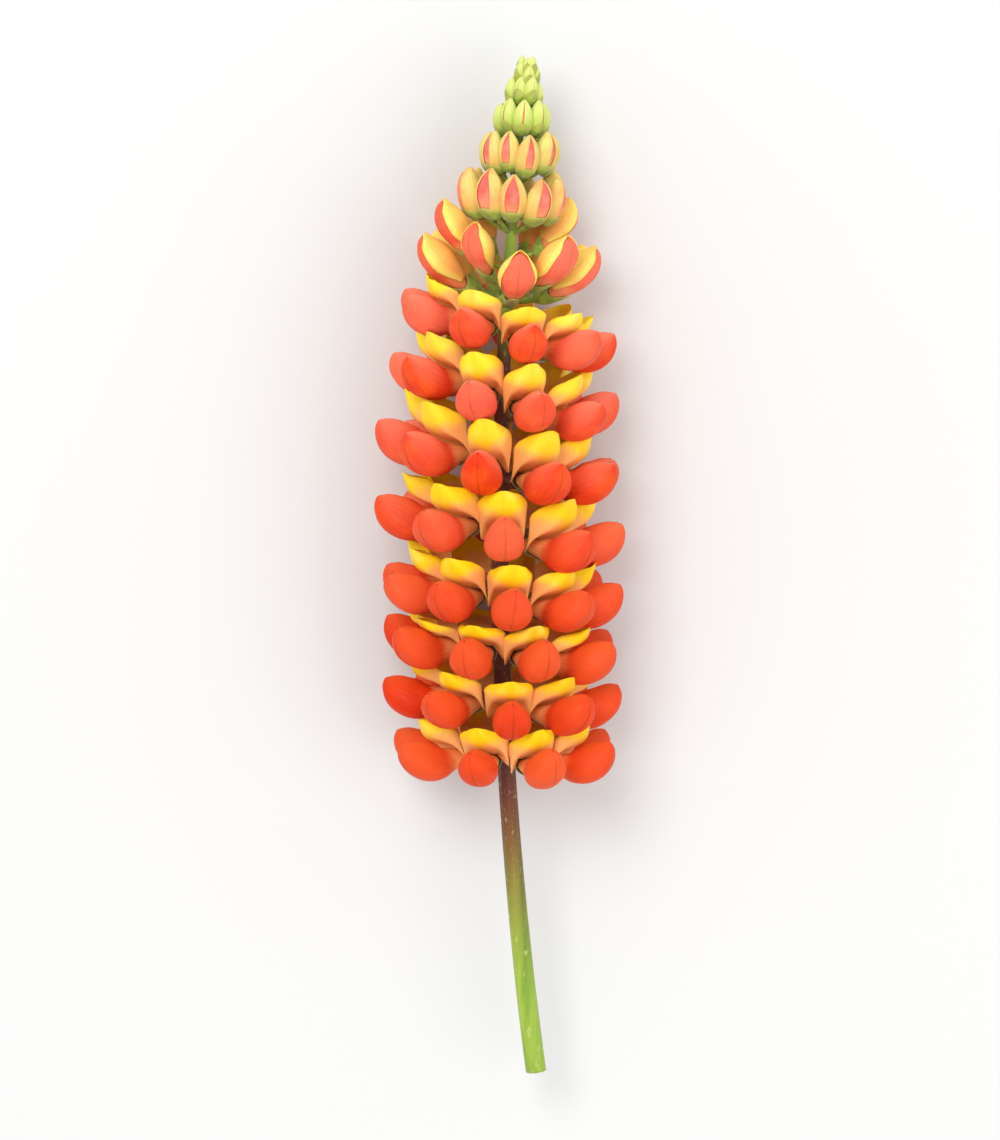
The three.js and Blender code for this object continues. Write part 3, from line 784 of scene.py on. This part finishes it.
class Shader:
    """A material whose nodes are added by short calls that return an output."""

    def __init__(self, name, roughness=0.5, glow=0.0, radius=(1, 0.3, 0.1), sheen=0.0, specular=0.5):
        self.material = bpy.data.materials.new(name)
        self.material.use_nodes = True
        self.nodes = self.material.node_tree.nodes
        self.links = self.material.node_tree.links
        self.shader = self.nodes["Principled BSDF"]
        self.put(self.shader, {
            "Roughness": roughness, "IOR": 1.4, "Subsurface Weight": glow,
            "Subsurface Radius": radius, "Subsurface Scale": 0.0015,
            "Sheen Weight": sheen, "Specular IOR Level": specular,
        })
        self.place = self.add("ShaderNodeTexCoord", {}).outputs["Object"]

    def put(self, node, inputs):
        """Gives each of a node's inputs a value or another node's output."""
        for name, value in inputs.items():
            if isinstance(value, bpy.types.NodeSocket):
                self.links.new(value, node.inputs[name])
            else:
                node.inputs[name].default_value = value

    def add(self, kind, inputs, **settings):
        node = self.nodes.new(kind)
        for name, value in settings.items():
            setattr(node, name, value)
        self.put(node, inputs)
        return node

    def trait(self, name):
        return self.add("ShaderNodeAttribute", {}, attribute_name=name).outputs["Fac"]

    def math(self, operation, *values):
        return self.add("ShaderNodeMath", dict(enumerate(values)), operation=operation).outputs[0]

    def ramp(self, value, *stops):
        node = self.add("ShaderNodeValToRGB", {0: value})
        elements = node.color_ramp.elements
        elements[0].position, elements[0].color = stops[0]
        elements[1].position, elements[1].color = stops[-1]
        for position, colour in stops[1:-1]:
            elements.new(position).color = colour
        return node.outputs[0]

    def span(self, value, low, high):
        """0 where value is low, 1 where it is high, smooth between."""
        inputs = {"Value": value, "From Min": low, "From Max": high}
        return self.add("ShaderNodeMapRange", inputs, interpolation_type="SMOOTHSTEP").outputs[0]

    def mix(self, share, one, other):
        """Mixes two colours, which are the node's inputs 6 and 7 and its output 2."""
        inputs = {0: share, 6: one, 7: other}
        return self.add("ShaderNodeMix", inputs, data_type="RGBA").outputs[2]

    def over(self, under, colour, most, value, low, high):
        """colour over under: none where value is low, and a share of most where it is high."""
        return self.mix(self.math("MULTIPLY", self.span(value, low, high), most), under, colour)

    def noise(self, scale, detail=3.0, stretch=(1, 1, 1)):
        place = self.add("ShaderNodeMapping", {"Vector": self.place, "Scale": stretch}).outputs[0]
        inputs = {"Vector": place, "Scale": scale, "Detail": detail}
        return self.add("ShaderNodeTexNoise", inputs).outputs["Fac"]

    def blurred(self, value, scale, reach):
        """value, moved up or down by a noise, so that what depends on it has an uneven edge."""
        return self.math("MULTIPLY_ADD", self.math("SUBTRACT", self.noise(scale, 3), 0.5), reach, value)

    def veins(self, count, wander, sharp):
        """Thin lines that run along a petal, 1 on a vein."""
        even = self.math("MULTIPLY", self.trait("across"), count)
        bent = self.math("MULTIPLY_ADD", self.noise(260), wander, even)
        wave = self.math("MULTIPLY_ADD", self.math("SINE", bent), 0.5, 0.5)
        return self.math("POWER", wave, sharp)

    def veined(self, under, colour, most, count, wander, sharp):
        share = self.math("MULTIPLY", self.veins(count, wander, sharp), most)
        return self.mix(share, under, colour)

    def relief(self, count, wander, height, grain):
        """A petal's raised veins and fine grain."""
        return self.math("MULTIPLY_ADD", self.veins(count, wander, 3), height, self.noise(grain, 2))

    def finish(self, colour, relief=None, depth=0.0001, strength=0.5):
        self.put(self.shader, {"Base Color": colour})
        if relief is not None:
            bump = self.add("ShaderNodeBump", {"Distance": depth, "Strength": strength, "Height": relief})
            self.put(self.shader, {"Normal": bump.outputs[0]})
        return self.material


def wing_material():
    """Coral petals, darker down the spike, with a peach claw, a pink tone that differs from floret to
    floret and a painted pink highlight towards each wing's upper tip.
    """
    s = Shader("wing_petal", glow=0.25, specular=0.2)
    along, across, age = s.trait("along"), s.trait("across"), s.trait("age")
    young = s.span(age, 0.8, 0.44)
    blotch = s.span(s.noise(140, 4), 0.35, 0.7)
    ripe = s.mix(blotch, CORAL["old"], CORAL["deep"])
    body = s.mix(young, ripe, s.mix(blotch, CORAL["deep"], CORAL["body"]))
    pink_tone_and_highlight = s.mix(young, CORAL["flush"], CORAL["pink"])
    # Painted highlight: each wing is pinker towards its upper edge and round tip, as if lit from above,
    # and young wings are more so.
    light = s.math("MULTIPLY", s.span(along, 0.2, 0.95), s.span(across, 0.2, 0.85))
    highlighted = s.mix(s.math("MULTIPLY", light, s.math("MULTIPLY_ADD", young, 0.5, 0.4)), body, pink_tone_and_highlight)
    clawed = s.over(highlighted, PEACH, 0.95, s.blurred(along, 170, 0.12), 0.37, 0.22)
    opening = s.over(clawed, CORAL["fresh"], 0.45, age, 0.35, 0.31)
    veined = s.veined(opening, CORAL["dark"], 0.16, 62, 5, 5)
    # The same pink, mixed in by each floret's tone, is the petals' own colour.
    toned = s.mix(s.math("MULTIPLY_ADD", s.trait("tone"), 0.2, 0.18), veined, pink_tone_and_highlight)
    return s.finish(toned, s.relief(62, 5, 0.45, 1400), 0.00012, 0.5)


def keel_material():
    s = Shader("keel", glow=0.2)
    stops = (0, KEEL_TONES["base"]), (0.7, KEEL_TONES["middle"]), (1, KEEL_TONES["tip"])
    return s.finish(s.ramp(s.trait("along"), *stops), s.noise(900), 0.0001, 0.3)


def banner_material():
    """Yellow petals that are peach towards the claw."""
    s = Shader("banner_petal", glow=0.3, radius=(1, 0.7, 0.12), specular=0.2)
    along, across = s.trait("along"), s.trait("across")
    fresh = s.mix(s.span(along, 0.3, 0.8), YELLOW["fresh_low"], YELLOW["fresh_high"])
    ripe = s.mix(s.span(along, 0.3, 0.85), YELLOW["ripe_low"], YELLOW["ripe_high"])
    yellow = s.mix(s.span(s.trait("age"), 0.4, 0.66), fresh, ripe)
    toned = s.mix(s.math("MULTIPLY_ADD", s.trait("tone"), 0.25, 0.25), yellow, YELLOW["lemon"])
    spotted = s.over(toned, YELLOW["spot"], 0.5, s.noise(110, 2), 0.5, 0.75)
    slant = s.math("MULTIPLY_ADD", across, -0.36, along)
    peach = s.over(spotted, PEACH, 0.95, s.blurred(slant, 150, 0.3), 0.6, 0.3)
    creased = s.over(peach, YELLOW["crease"], 0.25, across, 0.14, 0.0)
    veined = s.veined(creased, YELLOW["vein"], 0.12, 58, 4, 6)
    return s.finish(veined, s.relief(58, 4, 0.4, 1200), 0.00012, 0.35)


def hood_material():
    """Apricot petals with a yellow edge and a greenish back."""
    s = Shader("folded_banner", glow=0.3, radius=(1, 0.6, 0.12), specular=0.3)
    along, across = s.trait("along"), s.trait("across")
    body = s.mix(s.span(along, 0.2, 0.9), APRICOT["low"], APRICOT["high"])
    edge = s.mix(s.span(across, 0.6, 0.96), body, APRICOT["edge"])
    back = s.over(edge, APRICOT["back"], 0.6, across, 0.3, 0.0)
    patch = s.over(back, APRICOT["patch"], 0.4, s.noise(170), 0.5, 0.75)
    veined = s.veined(patch, APRICOT["vein"], 0.16, 46, 4, 6)
    return s.finish(veined, s.relief(46, 4, 0.4, 1200), 0.00012, 0.35)


def bud_material():
    """Cream with a peach flush on the lower buds, and green on the topmost ones."""
    s = Shader("bud_banner", glow=0.25, radius=(1, 0.7, 0.25), sheen=0.08)
    along, across = s.trait("along"), s.trait("across")
    cream = s.mix(s.span(along, 0.15, 0.9), CREAM["low"], CREAM["high"])
    peach = s.over(cream, CREAM["peach"], 0.7, s.noise(190), 0.4, 0.7)
    flushed = s.over(peach, CREAM["flush"], 0.3, across, 0.35, 0.0)
    young = s.mix(s.span(along, 0.1, 0.9), CREAM["young_low"], CREAM["young_high"])
    whole = s.mix(s.span(s.trait("age"), 0.19, 0.1), flushed, young)
    foot = s.over(whole, CREAM["foot"], 0.6, along, 0.35, 0.1)
    veined = s.veined(foot, CREAM["vein"], 0.18, 40, 4, 5)
    return s.finish(veined, s.relief(40, 4, 0.4, 1400), 0.0001, 0.35)


def bud_wing_material():
    s = Shader("bud_wings", glow=0.25, sheen=0.1)
    pink = s.mix(s.span(s.noise(260), 0.35, 0.7), BUD_PINK["dark"], BUD_PINK["light"])
    footed = s.mix(s.span(s.trait("along"), 0.55, 0.1), pink, BUD_PINK["foot"])
    return s.finish(footed, s.noise(1300, 2), 0.0001, 0.3)


def green_material():
    """Calyces and floret stalks: green above, flushed maroon down the spike."""
    s = Shader("calyx_and_stalk", roughness=0.55, glow=0.15, radius=(0.6, 0.9, 0.2), sheen=0.25)
    along = s.trait("along")
    leaf = s.mix(s.span(s.noise(420), 0.35, 0.7), GREEN["leaf"], GREEN["leaf_light"])
    tipped = s.over(leaf, GREEN["tooth"], 0.5, along, 0.45, 1.0)
    maroon = s.mix(s.span(s.noise(300), 0.3, 0.75), MAROON["cup"], MAROON["cup_light"])
    less = s.math("MULTIPLY", s.span(along, -0.1, 0.6), 0.45)
    share = s.math("MULTIPLY", s.span(s.trait("age"), 0.33, 0.5), s.math("SUBTRACT", 0.95, less))
    return s.finish(s.mix(share, tipped, maroon), s.noise(1500, 3), 0.00012, 0.5)


def hair_material():
    s = Shader("silky_hairs", roughness=0.4, sheen=0.2)
    return s.finish(s.mix(s.span(s.noise(300), 0.3, 0.7), HAIR["dark"], HAIR["light"]))


def stem_material():
    """Green under the buds, maroon along the whorls and green again at the cut end."""
    s = Shader("stem", glow=0.12, radius=(0.6, 0.9, 0.2), sheen=0.1)
    streaks = s.noise(220, 5, (1, 0.06, 1))
    green = s.mix(s.span(streaks, 0.3, 0.7), GREEN["stem"], GREEN["stem_light"])
    maroon = s.mix(s.span(streaks, 0.3, 0.75), MAROON["stem"], MAROON["stem_light"])
    age = s.math("MULTIPLY_ADD", s.noise(60, 3, (1, 0.3, 1)), 0.12, s.trait("age"))
    dark = s.math("MULTIPLY", s.span(age, 0.37, 0.46), s.span(age, 1.32, 1.02))
    skin = s.mix(dark, green, maroon)
    flecked = s.over(skin, GREEN["fleck"], 0.5, s.noise(700, 2, (1, 0.4, 1)), 0.62, 0.75)
    relief = s.math("ADD", streaks, s.math("MULTIPLY", s.noise(1600, 2), 0.5))
    return s.finish(flecked, relief, 0.00015, 0.5)


def cut_material():
    """The cut face: a green skin, a ring of bundles and pale pith."""
    s = Shader("cut_face", roughness=0.6, glow=0.2, radius=(0.8, 0.9, 0.5))
    places = {"centre": 0, "middle": 0.55, "bundles": 0.74, "outer": 0.86, "skin": 1}
    stops = [(place, PITH[name]) for name, place in places.items()]
    grained = s.over(s.ramp(s.trait("across"), *stops), PITH["grain"], 0.4, s.noise(1500, 4), 0.4, 0.65)
    return s.finish(grained, s.noise(1800, 4), 0.0002, 0.7)


MATERIALS = {
    "wing": wing_material(), "keel": keel_material(), "banner": banner_material(),
    "hood": hood_material(), "bud": bud_material(), "bud_wing": bud_wing_material(),
    "green": green_material(), "hair": hair_material(), "stem": stem_material(),
    "cut": cut_material(),
}

# ---- the spike's pieces


def cut_face():
    """The cut end: pith and a ring of bundles, a little uneven, inside the skin's edge."""
    piece = Piece("cut_end", "cut")
    angles = circle(CUT_SIDES)
    along = stem_frame(CUT_END)[0]
    rings = []
    for share, depth in CUT_RINGS:
        waves = share * (0.03 * np.sin(5 * angles + 9 * share) + 0.02 * np.cos(11 * angles))
        reach = STEM_RADIUS["thick"] * share
        out = depth + waves[:, None]
        rings.append(stem_point(CUT_END) + spokes(CUT_END, angles) * reach - along * out)
    shares = np.array([share for share, _ in CUT_RINGS])
    piece.loft(pressed(np.array(rings)), {"across": shares[:, None], "age": 1})
    piece.build("stem", "stem")


def bare_stem():
    """The stem below the head, with short hairs that stand out from it."""
    skin, fuzz = Piece("stem_skin", "stem"), Piece("stem_hairs", "hair")
    stations, rings = stem_length(skin, "stem", HEAD_END + SEAT_GAP, CUT_END, stem_radius)
    rng = np.random.default_rng(STEM_HAIRS["seed"])
    count = STEM_HAIRS["count"]
    picks = rng.integers(1, len(stations) - 1, count), rng.integers(0, rings.shape[1], count)
    outward = unit(rings[picks] - np.array([stem_point(station) for station in stations[picks[0]]]))
    lean = outward + rng.normal(0, 0.35, (count, 3))
    lengths = STEM_HAIRS["length"] * rng.uniform(0.5, 1.2, count)
    hairs(fuzz, rings[picks] - 0.03 * outward, lean, lengths, 0.025, {})
    skin.build("stem", "stem")
    fuzz.build("stem", "stem")


def half_open(pieces, row, plan, ringed):
    """A plan's florets. With ringed, all their stalks spring from the ring at its station."""
    wings, hoods, green, fuzz = pieces
    for i, (azimuth, sink) in enumerate(zip(plan["azimuths"], plan["sinks"])):
        station = plan["station"] + sink
        floret = Floret(row, i, station, azimuth, plan["size"], plan["lift"], EGG_WANDER)
        wing_pair(wings, floret, EGG, 0.5)
        keel(wings, floret, EGG)
        hood(hoods, floret)
        calyx(green, fuzz, floret, EGG_CUP, EGG_CUP_LIPS)
        stalk(green, floret, EGG_STALK_END, plan["start"], sink if ringed else 0)


def half_open_pieces(name):
    """Pieces for half open florets' wings, banners and calyces."""
    wings, hoods = Piece(f"{name}_wings", "wing", "keel"), Piece(f"{name}_banners", "hood")
    return wings, hoods, Piece(f"{name}_calyces", "green")


def head():
    """The closed buds on the stem's slender top, and the half open florets at its base."""
    core, petals = Piece("head_core", "stem"), Piece("closed_buds", "bud", "bud_wing")
    green, fuzz = Piece("bud_calyces", "green"), Piece("bud_hairs", "hair")
    stem_length(core, "core", CORE_TOP, HEAD_END, core_radius)
    for row, (station, count, first) in enumerate(BUD_ROWS):
        across = station / BUD_ROWS[0][0]
        grown = BUD["least"] + (1 - BUD["least"]) * across ** BUD["rush"]
        for i in range(count):
            floret = Floret(row, i, station, first + 360 * i / count, 1, 0, BUD_WANDER)
            bud(petals, green, fuzz, floret, grown, across)
    opening = half_open_pieces("first_opening")
    half_open((*opening, fuzz), len(BUD_ROWS), FIRST_OPENING, False)
    for piece in (core, petals, green, *opening, fuzz):
        piece.build("bud_head", "buds")


def opening_whorl():
    """The whorl of half open florets, round a ring on the stem."""
    wings, hoods, green = half_open_pieces("opening")
    pieces = wings, hoods, green, Piece("opening_hairs", "hair")
    half_open(pieces, len(BUD_ROWS) + 1, OPENING_WHORL, True)
    node_ring(green, OPENING_WHORL["station"])
    for piece in pieces:
        piece.build("opening_whorl", "half_open_florets")


def crest_rise(azimuth, k):
    """How much higher a banner is, up to CREST_RISE midway between two wings of the whorl above."""
    if k == 0:
        return 0
    above = OPEN_WHORLS[k - 1]
    turn = (azimuth - above["first"]) * above["count"] / 360
    return CREST_RISE * (2 * abs(turn - round(turn))) ** 2


def open_whorl(k, whorl):
    """A whorl of open florets, round a ring on the stem."""
    name = f"whorl_{k + 1}"
    wings = Piece(f"{name}_wing_petals", "wing", "keel")
    green, fuzz = Piece(f"{name}_calyces", "green"), Piece(f"{name}_hairs", "hair")
    banners = Piece(f"{name}_banner_petals", "banner")
    count, size = whorl["count"], whorl["reach"] / WINGS_REACH
    for i in range(count):
        azimuth = whorl["first"] + 360 * i / count
        station = whorl["station"] + whorl["tilt"] * math.sin(math.radians(azimuth))
        floret = Floret(len(BUD_ROWS) + 2 + k, i, station, azimuth, size, 0, WANDER)
        wing_pair(wings, floret, WINGS, 1.0, WING_PAIR["bend"])
        keel(wings, floret, WINGS)
        banner(banners, floret, 2 * math.pi / count, whorl["crest"] + crest_rise(azimuth, k))
        calyx(green, fuzz, floret, CUP, CUP_LIPS)
        stalk(green, floret, STALK_END, stem_radius(floret.station) + 0.1)
    node_ring(green, whorl["station"], whorl["tilt"])
    for piece in (wings, green, fuzz):
        piece.build(f"{name}_wings", "wings")
    banners.build(f"{name}_banners", "banners")


bare_stem()
cut_face()
head()
opening_whorl()
for number, whorl in enumerate(OPEN_WHORLS):
    open_whorl(number, whorl)

# ---- floor, lights and camera

FLOOR = {"size": 8, "dark": (0.66, 0.66, 0.655, 1), "light": (0.68, 0.68, 0.675, 1)}
SKY = 0.95
LAMPS = {
    "key": {"place": (-0.5, 0.8, 1.8), "size": 1.0, "power": 18},
    "fill": {"place": (0.9, -0.3, 1.4), "size": 1.4, "power": 7},
}
CAMERA = {"distance": 3.4, "above_tip_side": 6.5, "view": 0.361, "sensor": 36}


def floor():
    bpy.ops.mesh.primitive_plane_add(size=FLOOR["size"], location=(0, 0, 0))
    plane = bpy.context.object
    plane.name = "floor"
    s = Shader("floor", roughness=0.8)
    plane.data.materials.append(s.finish(s.mix(s.noise(3), FLOOR["dark"], FLOOR["light"])))


def area_light(name, place, size, power):
    """A soft round lamp that shines on the middle of the floor."""
    light = bpy.data.lights.new(name, "AREA")
    light.shape = "DISK"
    light.size = size
    light.energy = power
    lamp = bpy.data.objects.new(name, light)
    lamp.location = place
    lamp.rotation_euler = (-Vector(place)).to_track_quat("-Z", "Y").to_euler()
    scene.collection.objects.link(lamp)


def studio():
    world = bpy.data.worlds.new("studio")
    scene.world = world
    world.use_nodes = True
    background = world.node_tree.nodes["Background"]
    background.inputs["Color"].default_value = (1, 1, 1, 1)
    background.inputs["Strength"].default_value = SKY
    for name, lamp in LAMPS.items():
        area_light(name, **lamp)
    scene.view_settings.view_transform = "Standard"


def camera():
    """Looks down on the spike's middle, from a little towards its tip."""
    data = bpy.data.cameras.new("camera")
    data.sensor_width = CAMERA["sensor"]
    data.lens = CAMERA["sensor"] * CAMERA["distance"] / CAMERA["view"]
    data.clip_end = 20
    low, high = [Vector(corner) for corner in cad_box]
    tilt = math.radians(CAMERA["above_tip_side"])
    away = Vector((0, math.sin(tilt), math.cos(tilt)))
    eye = bpy.data.objects.new("camera", data)
    eye.location = (low + high) / 2 + away * CAMERA["distance"]
    eye.rotation_euler = (-tilt, 0, 0)
    scene.collection.objects.link(eye)
    scene.camera = eye


floor()
studio()
camera()
